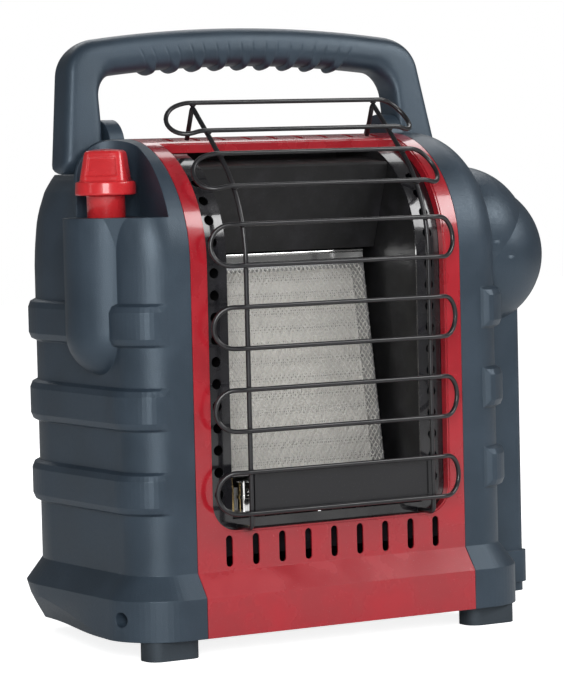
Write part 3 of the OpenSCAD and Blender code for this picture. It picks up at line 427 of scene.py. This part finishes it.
def joined(parts):
    """Several (points, faces) shapes as one, with the faces' numbers moved on."""
    points, faces, start = [], [], 0
    for these, quads in parts:
        points.append(these)
        faces += [q + start for q in quads]
        start += len(these)
    return np.concatenate(points), faces


def smooth(x):
    """0 below 0, 1 above 1 and a soft step between: 3 x^2 - 2 x^3."""
    x = np.clip(x, 0, 1)
    return x * x * (3 - 2 * x)


def blend(a, b, t):
    """a where t is 0, b where t is 1 and a straight line between."""
    return a + (b - a) * t


print("surface helpers ready")

# %% [markdown]
# ## Softer housings
# A blow-moulded housing has no hard meeting of two curves: where the solid's shoulder, rear
# corner and foot band are cut from crossing profiles, the plastic flows from one into the
# other, and its pads sink into the front corner instead of ending at an edge. The next cell
# copies a housing's mesh and cuts it along level and upright planes, so that it can bend.
# Three functions then say how far each point moves. They count x outwards from the middle,
# so that both housings share them.

# %% Bend the copies of the housings
INNER_X, SIDE_X = 97.8, 135.0                    # inner edge and side of a housing
FRONT_R = 25.0                                   # radius of its front corner
REAR_ARC_Y, REAR_R = 115.0, 60.0                 # start and radius of its rear corner
SHOULDER_Z, SHOULDER_R = 255, 57.0               # start and radius of its shoulder at the rear
BAND_Z = 36.3                                    # top of the foot band
PADS_Z = (80, 222)                               # the pads lie between these heights
SHARP = np.radians(47)                           # steeper edges than this stay crisp
DROP_Z = (233, 245, 260, 268, 280, 287, 293)     # the shoulder draws in at these heights
DROP = (0, 0.6, 2.2, 4, 8.4, 13, 18)             # by this much
TUCK_Z = (11, 19, 28, BAND_Z)                    # the foot band draws in at these heights
TUCK = (9, 6, 2, 0)                              # by this much
PAD_ENDS = {"left": (112, 131), "right": (108, 122)}
LEVELS = [*np.arange(13, BAND_Z, 4), *np.arange(234, 303, 4.5)]
ROWS = np.arange(30, 180, 10)


def draw_in_shoulder(p):
    """Shift in x: the rear corner and the shoulder take off their parts one after the
    other, and the solid took off the larger of the two already."""
    x, y, z = p.T
    arc = np.clip(y - REAR_ARC_Y, 0, REAR_R - 1)
    plan = SIDE_X - REAR_R + np.sqrt(REAR_R ** 2 - arc ** 2)
    rise = np.clip(z - SHOULDER_Z, 0, 50)
    solid = np.minimum(plan, SIDE_X - SHOULDER_R + np.sqrt(SHOULDER_R ** 2 - rise ** 2))
    wanted = np.maximum(solid - plan + np.interp(z, DROP_Z, DROP), 0)
    wanted *= smooth((y - 76) / 16) * smooth((302 - z) / 11)
    shift = -wanted * np.clip((x - INNER_X) / (solid - INNER_X), 0, 1)
    return np.stack([shift, 0 * shift, 0 * shift], 1)


def draw_in_foot(p):
    """Shift in x and y of the foot band's lower rear edge, more towards the back."""
    x, y, z = p.T
    amount = np.interp(z, TUCK_Z, TUCK) * smooth((y - 40) / 90)
    outer = np.clip((x - INNER_X) / 40, 0, 1)
    return np.stack([-amount * outer, -amount * outer * smooth((y - 110) / 50), 0 * z], 1)


def fade_pads(p, ends):
    """Shift in x and y that draws back what stands out from the front corner, from nothing
    at the outer end to all of it at the inner end."""
    x, y, z = p.T
    centre = np.stack([np.minimum(x, SIDE_X - FRONT_R), np.full(len(p), FRONT_R)], 1)
    away = p[:, :2] - centre
    reach = np.linalg.norm(away, axis=1)
    out = np.clip(reach - FRONT_R, 0, 8) * (y < FRONT_R) * (z > PADS_Z[0]) * (z < PADS_Z[1])
    back = -out * (1 - smooth((x - ends[0]) / (ends[1] - ends[0]))) / np.maximum(reach, 1)
    return np.insert(back[:, None] * away, 2, 0, 1)


def cut_along(bm, points, normal):
    """Cut every face that crosses a plane through one of these points."""
    for point in points:
        bmesh.ops.bisect_plane(bm, geom=bm.verts[:] + bm.edges[:] + bm.faces[:],
                               plane_co=Vector(place(point)), plane_no=normal)


for name, side in (("left", -1), ("right", 1)):
    bm = bmesh.new()
    bm.from_mesh(frame["nodes"][name + "_housing"].data)
    cut_along(bm, [(0, 0, z) for z in LEVELS], (0, 0, 1))
    cut_along(bm, [(0, y, 0) for y in ROWS], (0, 1, 0))
    points = (np.array([v.co for v in bm.verts]) - MIDDLE) * 1000 * [side, 1, 1]
    points = points + draw_in_shoulder(points)
    points = points + draw_in_foot(points)
    points = points + fade_pads(points, PAD_ENDS[name])
    for vertex, moved in zip(bm.verts, place(points * [side, 1, 1])):
        vertex.co = moved
    shell = bpy.data.meshes.new(name + "_shell")
    bm.to_mesh(shell)
    bm.free()
    dressed(shell, "housing_plastic", "root", name + "_housing")
    shell.set_sharp_from_angle(angle=SHARP)

# %% [markdown]
# ## The bail handle
# The handle is one hollow moulding whose legs are flat-faced and whose grip is rounded to
# the hand, with nine small ridges under it. The solid has bevels in place of those flowing
# curves, so here the same front view is lofted. One half is made and mirrored: an outer and
# an inner edge are walked side by side, from the foot of the leg to the middle of the grip,
# and a squarish oval |x|^n + |y|^n = 1 between them grows rounder on the way. At the end the
# whole handle leans back about its pivots.

# %% Loft the handle
PIVOT = np.array([0, 92, 308.0])
LEG_OUT, LEG_IN, LEG_SLOPE = 136.5, 108.9, 0.1515    # a leg's two edges; the outer one leans
LEG_FOOT = -4                                        # height at which LEG_OUT is measured
LEG_END = 17                                         # radius of the leg's round end
GRIP_TOP, GRIP_H, THICK = 73, 23.5, 24
ARCH = 874                                           # radius of the grip's arched top
OUT_R, IN_R = 24, 17                                 # radii of the two edges' corners
RIDGE_PITCH, RIDGE_R = 17, 2.8
SEAM_AT, SEAM_DEPTH = 4, 0.35                        # fine seams on both sides of a ridge
LEG_POWER, GRIP_POWER = 5.0, 2.7                     # n of the oval
LEAN_BACK = np.radians(9)
STEPS = (36, 26, 190)                                # points up the leg, round, along the grip


def corner_centre(edge, arch):
    """Centre of the circle that touches a leg's edge and an arch: where the line at the
    circle's radius from the edge meets the arch's circle drawn in by that radius."""
    height = 0.0
    for _ in range(30):
        x = edge(height)
        height = np.sqrt(arch ** 2 - x ** 2) + GRIP_TOP - ARCH
    return np.array([x, height])


def edge_points(leg_x, slope, r, arch):
    """Points (x, height) up the leg, round the corner and along the arch to its middle."""
    tilt = np.arctan(slope)
    centre = corner_centre(
        lambda h: leg_x - slope * (h - LEG_FOOT) - r / np.cos(tilt), arch - r)
    u = np.sin(np.linspace(0, np.pi / 2, STEPS[0], endpoint=False)) ** 1.5
    up = blend(-LEG_END + 0.15, centre[1] + r * np.sin(tilt), 1 - (1 - u) ** 1.6)
    leg = np.stack([leg_x - slope * (up - LEG_FOOT), up], 1)
    stop = np.pi / 2 - np.arcsin(centre[0] / (arch - r))
    a = np.linspace(tilt, stop, STEPS[1], endpoint=False)
    corner = centre + r * np.stack([np.cos(a), np.sin(a)], 1)
    x = np.linspace(centre[0] + r * np.cos(stop), 0, STEPS[2])
    top = np.stack([x, np.sqrt(arch ** 2 - x ** 2) + GRIP_TOP - ARCH], 1)
    return np.concatenate([leg, corner, top])


outer = edge_points(LEG_OUT, LEG_SLOPE, OUT_R, ARCH)
inner = edge_points(LEG_IN, 0, IN_R, ARCH - GRIP_H)
along = np.concatenate([np.zeros(STEPS[0]), np.linspace(0, 1, STEPS[1]), np.ones(STEPS[2])])

middle, half = (outer + inner) / 2, (outer - inner) / 2
height = middle[:, 1]
round_end = np.sqrt(np.maximum(LEG_END ** 2 - np.minimum(height, 0) ** 2, 0))
depth = np.minimum(np.where(height < 0, round_end, THICK), THICK / 2)
tuck = 5 * (1 - np.sqrt(1 - np.clip((-height - 12) / 5, 0, 1) ** 2))
half = half * (1 - tuck / np.linalg.norm(half, axis=1))[:, None]

turn = np.linspace(0, 2 * np.pi, 72, endpoint=False)
power = blend(LEG_POWER, GRIP_POWER, smooth(along))[:, None]
across = np.sign(np.cos(turn)) * np.abs(np.cos(turn)) ** (2 / power)
through = np.sign(np.sin(turn)) * np.abs(np.sin(turn)) ** (2 / power)
at = inner[:, 0][:, None]
from_ridge = (at + RIDGE_PITCH / 2) % RIDGE_PITCH - RIDGE_PITCH / 2
ridged = along[:, None] * (at < 4.5 * RIDGE_PITCH)
ridge = np.sqrt(np.maximum(RIDGE_R ** 2 - from_ridge ** 2, 0)) * smooth((-across - 0.55) / 0.4)
near_seam = smooth(1 - np.abs(np.abs(from_ridge) - SEAM_AT) / 0.9)
seam = SEAM_DEPTH * near_seam * smooth((0.1 - across) / 0.3)
push = across * np.linalg.norm(half, axis=1)[:, None] - ridged * ridge
flat = middle[:, None] + push[..., None] * unit(half)[:, None]
y = (depth[:, None] - ridged * seam) * through
right_half = np.stack([flat[..., 0], y, flat[..., 1]], -1)
left_half = right_half[::-1] * [-1, 1, 1]
handle = np.concatenate([right_half, left_half[1:]])
x, y, z = handle.reshape(-1, 3).T
leaned_back = np.stack([x, y * np.cos(LEAN_BACK) + z * np.sin(LEAN_BACK),
                        z * np.cos(LEAN_BACK) - y * np.sin(LEAN_BACK)], 1) + PIVOT
shape = handle.shape[:2]
piece("bail_handle", leaned_back, [grid(*shape), *end_caps(*shape)], "housing_plastic",
      "handle", "carry_handle")

# %% [markdown]
# ## The knob
# The knob is one red moulding: a round neck that goes down into the tower, a round skirt,
# and a block that the fingers hold, with a slanted front in which a soft-cornered field is
# sunk. Each level of it is a closed curve between a circle and a square, so the whole knob
# is a stack of such curves, from the bore round the stem out to the crown.

# %% Stack the knob
KNOB = np.array([-127, 49, 278.5])               # axis, and underside of the skirt
KNOB_R, SKIRT_H, SKIRT_EDGE = 18.7, 7, 1.3       # the skirt's rim, height and rounding
NECK_R, BORE_R, NECK_LOW, BORE_TOP = 11.8, 3.92, -25.3, 12.2
BLOCK = {"low": (9, 14.7, -14.7, 14.7, 4.2),     # z, half width, front, back and n of the
         "high": (24.5, 12.2, -9.7, 11.8, 4.8)}  # block at its foot and under its crown
CROWN_H, CROWN_IN = 2.6, 3.0                     # rounding of the block's upper edge
FIELD_Z, FIELD_DEPTH, FIELD_EDGE = (11.2, 23.2), 0.9, 0.9
KNOB_TURN = np.radians(-40)
AROUND = 240
round_it = np.linspace(0, 2 * np.pi, AROUND, endpoint=False)


def level(z, half_x, front, back, power):
    """One level: |x/a|^n + |y/b|^n = 1 about its own middle, as a closed curve."""
    b, middle_y = (back - front) / 2, (back + front) / 2
    reach = (np.abs(np.cos(round_it) / half_x) ** power + np.abs(np.sin(round_it) / b) ** power)
    reach = reach ** (-1 / power)
    return np.stack([reach * np.cos(round_it), reach * np.sin(round_it) + middle_y,
                     np.full_like(round_it, z)], 1)


def ring(z, r):
    """A round level."""
    return level(z, r, -r, r, 2)


low, high = np.array(BLOCK["low"]), np.array(BLOCK["high"])
bore_and_neck = [(BORE_TOP, 0.2), (BORE_TOP, BORE_R), (NECK_LOW, BORE_R),
                 (NECK_LOW, NECK_R - 0.5), (NECK_LOW + 0.5, NECK_R), (-1.2, NECK_R),
                 (-0.3, NECK_R + 0.3), (0, NECK_R + 1.2)]
underside = [(0, KNOB_R - 0.9), (0.25, KNOB_R - 0.3), (0.9, KNOB_R)]
levels = [ring(*at) for at in bore_and_neck + underside]
levels += [ring(z, KNOB_R - 0.05 * z) for z in np.linspace(1.5, SKIRT_H, 8)]
levels += [ring(SKIRT_H + SKIRT_EDGE * np.sin(a), KNOB_R - 1.65 + SKIRT_EDGE * np.cos(a))
           for a in np.linspace(0, np.pi / 2, 7)[1:]]
levels += [level(SKIRT_H + SKIRT_EDGE + d, 15.3 - d, -15.3 + d, 15.3 - d, low[4])
           for d in (0, 0.25, 0.6)]
levels += [level(*blend(low, high, t)) for t in np.linspace(0.03, 1, 44)]
for a in np.linspace(0.1, np.pi / 2, 10):
    d = CROWN_IN * (1 - np.cos(a))
    levels.append(level(high[0] + CROWN_H * np.sin(a), high[1] - d, high[2] + d * 0.9,
                        high[3] - d, 4.4))
for t in (0.75, 0.5, 0.25, 0.02):
    levels.append(level(high[0] + CROWN_H + 0.8 * (1 - t * t), 9.2 * t, -7 * t + 1 - t,
                        8.8 * t + 1 - t, blend(2.4, 4, t)))
points = np.stack(levels)
x, y, z = points[..., 0], points[..., 1], points[..., 2]
half_field = blend(10.2, 8.2, (z - low[0]) / (high[0] - low[0]))
field = (smooth((half_field - np.abs(x)) / FIELD_EDGE) * smooth((z - FIELD_Z[0]) / FIELD_EDGE)
         * smooth((FIELD_Z[1] - z) / FIELD_EDGE) * (y < -5))
points[..., 1] += FIELD_DEPTH * field
x, y, z = points.reshape(-1, 3).T
c, s = np.cos(KNOB_TURN), np.sin(KNOB_TURN)
turned = np.stack([x * c - y * s, x * s + y * c, z], 1) + KNOB
shape = (len(levels), AROUND)
piece("knob_cap", turned, [grid(*shape), *end_caps(*shape)], "knob_red", "knob", "control_knob")

# %% [markdown]
# ## The wire guard
# Six closed loops of enamelled wire lie one above another and bend back over the top, so
# that nobody can touch the screen. Each loop is a long flat oval whose ends turn back
# towards the panel, and two uprights carry them all. The solids' wires have few sides; here
# the same routes are swept with a round section and finer bends. A small bead of weld metal
# sits where a loop crosses an upright.

# %% Sweep the loops and uprights
ARC, ARC_Z = 75, 237                             # radius and centre height of the front curve
WIRE = 1.5                                       # radius of the wire
SECTION = WIRE - 0.06                            # keeps the round wire inside the solids' box
GAP = 15                                         # from the panel's face to the wire
PITCH, FIRST_Z, LOOPS = 24.9, 85.4, 6
HALF, BEND_X, BEND = 89, 72, np.radians(22)      # a loop's half width, and where its ends turn
KNEE = 3                                         # the turn is spread over this much each way
UPRIGHT_X, UPRIGHT_FOOT_Z = 66, 74.5
CORNER_R = 3                                     # an upright's bend at its foot
END_R = PITCH / 2
GUARD_R = ARC + GAP
LAST_TURN = np.radians(46.5)                     # the curve ends here and runs straight on
LAST_S = ARC_Z + GUARD_R * LAST_TURN
TOP_DROP = 4.4                                   # the top loop sits a little lower


def loop_s(i):
    """Length up the front at the middle of loop i."""
    return FIRST_Z + (2 * i + 0.5) * PITCH - (TOP_DROP if i == LOOPS - 1 else 0)


def on_guard(points, s):
    """Points of a flat loop (x, out, along) laid on the guard's surface at a length s up
    the front: straight up, then turned about the curve's centre, then straight again."""
    turn = min(LAST_TURN, max(0.0, (s - ARC_Z) / GUARD_R))
    x, y, z = points.T
    if turn == 0:
        return np.stack([x, y - GAP, z + s], 1)
    y = y - (np.sqrt(GUARD_R ** 2 - END_R ** 2) if s < LAST_S else GUARD_R)
    z = z + max(0.0, s - LAST_S)
    return np.stack([x, ARC + y * np.cos(turn) + z * np.sin(turn),
                     ARC_Z - y * np.sin(turn) + z * np.cos(turn)], 1)


def loop_path():
    """One closed loop: two straight runs joined at each end by half a circle, seen on a
    plane that turns back by the bend angle beyond the last weld."""
    reach = (HALF - BEND_X) / np.cos(BEND) - END_R - WIRE
    a = np.linspace(-np.pi / 2, np.pi / 2, 17)
    out = reach + END_R * np.cos(a)
    end = np.stack([BEND_X + out * np.cos(BEND), out * np.sin(BEND), END_R * np.sin(a)], 1)
    t = np.linspace(0, 1, 5)
    low = np.stack([blend(BEND_X - KNEE, BEND_X + KNEE, t), KNEE * np.tan(BEND) * t ** 2,
                    np.full(5, -END_R)], 1)
    high = low[::-1] * [1, 1, -1]
    right_side = np.concatenate([low, end, high])
    left_side = right_side[::-1] * [-1, 1, 1]
    return np.concatenate([right_side, left_side])


def upright_path():
    """Side view (y, z) of an upright: out of the panel, up behind the loops, over the top
    on a circle inside theirs, straight up to the last loop and down to the panel."""
    inner = GUARD_R - 2 * WIRE - 0.1
    foot = UPRIGHT_FOOT_Z + WIRE
    a = np.linspace(0, LAST_TURN, 30)
    arc = np.stack([ARC - inner * np.cos(a), ARC_Z + inner * np.sin(a)], 1)
    b = np.linspace(0, np.pi / 2, 6)
    corner = np.stack([ARC - inner + CORNER_R * (1 - np.sin(b)),
                       foot + CORNER_R * (1 - np.cos(b))], 1)
    run = loop_s(LOOPS - 1) + END_R - LAST_S - 3
    top = arc[-1] + run * np.array([np.sin(LAST_TURN), np.cos(LAST_TURN)])
    bow = np.array([[0, 0], [0.9, 0.7], [2.0, 0.6], [2.9, -0.6]]) + top
    end_y = top[0] + 9.5
    end_z = ARC_Z + np.sqrt(ARC ** 2 - (ARC - end_y) ** 2) + 1.3
    return np.concatenate([[[4, foot]], corner, arc, bow, [[end_y, end_z]]])


def bead(centre, radius=2.1, rings=6, sides=12):
    """Small flattened ball of weld metal round a crossing: rings of a ball whose radius
    dips a little, so that no two look alike."""
    v = np.linspace(0, np.pi, rings + 2)[1:-1, None]
    u = np.linspace(0, 2 * np.pi, sides, endpoint=False)[None]
    r = radius * (1 + 0.06 * np.sin(3 * u + centre[2]))
    ball = np.stack([r * np.sin(v) * np.cos(u), r * np.sin(v) * np.sin(u) * 0.9,
                     radius * 0.8 * np.cos(v) * np.ones_like(u)], -1).reshape(-1, 3)
    return ball + centre, [grid(rings, sides), *end_caps(rings, sides)]


loops = [tube(on_guard(loop_path(), loop_s(i)), SECTION, 14, True) for i in range(LOOPS)]
side_view = upright_path()
uprights = [tube(np.insert(side_view, 0, x, 1), WIRE, 14) for x in (-UPRIGHT_X, UPRIGHT_X)]
for i in range(LOOPS):
    crossings = [(x, WIRE, z) for x in (-UPRIGHT_X, UPRIGHT_X) for z in (-END_R, END_R)]
    uprights += [bead(crossing) for crossing in on_guard(np.array(crossings), loop_s(i))]
piece("guard_wires", *joined(loops), "guard_enamel", "root", "guard_loops")
piece("guard_posts", *joined(uprights), "guard_enamel", "root", "guard_uprights")

# %% [markdown]
# ## The woven screen
# A screen of thin wire covers the ceramic. Its wires run on two slants and pass over and
# under each other, so the openings are small diamonds. Each wire is a straight line plus a
# cosine across the screen, half a period apart in the two families. The screen leans back
# with the burner.

# %% Weave the screen
LEAN = np.radians(8.85)
HINGE = np.array([0, 33, 104.0])                 # lower front edge of the tile
SCREEN_W, SCREEN_H = 120.2, 127
DIAMOND_W, DIAMOND_H, SCREEN_WIRE = 3.1, 4.4, 0.34
ON_TILE = [0, 0.6, 0.5]                          # the screen's own place on the leaned tile


def leaned(points):
    """Points of the upright burner leaned back about its lower front edge."""
    x, y, z = np.asarray(points, float).T
    c, s = np.cos(LEAN), np.sin(LEAN)
    return np.stack([x, y * c + z * s, z * c - y * s], -1) + HINGE


def woven(width, height, across, tall, radius, shortest=3):
    """Two families of slanted wires, as points and faces, whose openings are `across` wide
    and `tall` high. Corner pieces shorter than `shortest` mm are left out."""
    slant = np.arctan2(tall, across)
    run = height / np.tan(slant)                 # how far a wire goes sideways on its way up
    parts = []
    for family, way in enumerate((1, -1)):
        starts = np.arange(-width / 2 - run, width / 2, across) + 0.5 * family * across
        for x0 in starts:
            low = max(0, -width / 2 - x0) / run * height
            high = min(1, (width / 2 - x0) / run) * height
            if high - low < shortest:
                continue
            z = np.linspace(low, high, max(3, int((high - low) / (tall / 4)) + 1))
            x = way * (x0 + z / height * run)
            lift = radius * np.cos(np.pi * (2 * z / tall + family + np.round(x0 / across)))
            parts.append(tube(np.stack([x, lift, z], 1), radius, 4, reference=(0, 1, 0)))
    return joined(parts)


points, faces = woven(SCREEN_W, SCREEN_H, DIAMOND_W, DIAMOND_H, SCREEN_WIRE)
piece("burner_mesh", leaned(points + ON_TILE), faces, "screen_wire", "root", "burner_screen")

# %% [markdown]
# ## Floor, background and light
# The heater stands on a plain white floor. A soft key lamp hangs just over the camera, so
# the tower is lit and the side is dark; a lamp at the right lights the column, the dome and
# all that faces it, a weak strip at the left draws the edges of the niche, and a broad lamp
# behind lights the tops. The camera sees a white sky, which lights the heater only weakly.
# The floor glows a little for the camera too, less near the heater, where its shadow shows,
# and fully further off, so that no horizon is seen.

# %% Light the scene
HEART = Vector((0, 0, 0.18))                     # the lamps look at this point, in metres
SKY_SEEN, SKY_LIGHT = 1.0, 0.13
SHADOW_NEAR, SHADOW_FAR, NEAR_GLOW = 0.25, 0.7, 0.84
FLOOR_HALF = 4


def softbox(name, azimuth, elevation, distance, size, power):
    """Lamp at a distance from the heater, at angles in degrees from +X and the floor."""
    lamp = bpy.data.lights.new(name, "AREA")
    lamp.shape, lamp.size, lamp.size_y, lamp.energy = "RECTANGLE", size[0], size[1], power
    a, e = np.radians(azimuth), np.radians(elevation)
    heading = Vector((np.cos(e) * np.cos(a), np.cos(e) * np.sin(a), np.sin(e)))
    made = bpy.data.objects.new(name, lamp)
    made.location = HEART + heading * distance
    made.rotation_euler = heading.to_track_quat("Z", "Y").to_euler()
    bpy.context.scene.collection.objects.link(made)


softbox("key_lamp", -122, 15, 1.8, (0.7, 0.8), 19)
softbox("right_lamp", -44, 32, 1.7, (0.9, 0.6), 12)
softbox("left_strip", -177, 22, 1.7, (0.2, 1.0), 1.2)
softbox("back_lamp", 62, 46, 1.6, (1.5, 0.8), 9)

sky = bpy.data.worlds.new("studio")
bpy.context.scene.world = sky
sky.use_nodes = True
nodes, links = sky.node_tree.nodes, sky.node_tree.links
path = nodes.new("ShaderNodeLightPath")
seen = nodes.new("ShaderNodeMath")
seen.operation = "MAXIMUM"
links.new(path.outputs["Is Camera Ray"], seen.inputs[0])
links.new(path.outputs["Is Transmission Ray"], seen.inputs[1])
dim = nodes.new("ShaderNodeMapRange")
links.new(seen.outputs[0], dim.inputs["Value"])
dim.inputs["To Min"].default_value, dim.inputs["To Max"].default_value = SKY_LIGHT, SKY_SEEN
nodes["Background"].inputs["Color"].default_value = (1, 1, 1, 1)
links.new(dim.outputs[0], nodes["Background"].inputs["Strength"])

floor_finish = Finish("floor", Roughness=0.8)
floor_finish.feed("Base Color", floor_finish.mix(
    floor_finish.noise(60, 2) * 0.05, rgb(0.9, 0.9, 0.9), rgb(0.86, 0.86, 0.86)))
glow = floor_finish.node("ShaderNodeLightPath", output="Is Camera Ray")
far = floor_finish.node("ShaderNodeVectorMath", {"operation": "LENGTH"},
                        {0: floor_finish.position}, output="Value")
glow = glow * floor_finish.ramp(far, NEAR_GLOW, 1.0, SHADOW_NEAR, SHADOW_FAR)
floor_finish.shader.inputs["Emission Strength"].default_value = 1.0
floor_finish.feed("Emission Color", floor_finish.mix(glow, rgb(0, 0, 0), rgb(1, 1, 1)))
floor_mesh = bpy.data.meshes.new("floor")
corners = [(-1, -1), (1, -1), (1, 1), (-1, 1)]
floor_mesh.from_pydata([(x * FLOOR_HALF, y * FLOOR_HALF, 0) for x, y in corners], [],
                       [(0, 1, 2, 3)])
floor_mesh.materials.append(floor_finish.material)
floor = bpy.data.objects.new("floor", floor_mesh)
bpy.context.scene.collection.objects.link(floor)
bpy.context.scene.view_settings.view_transform = "Standard"
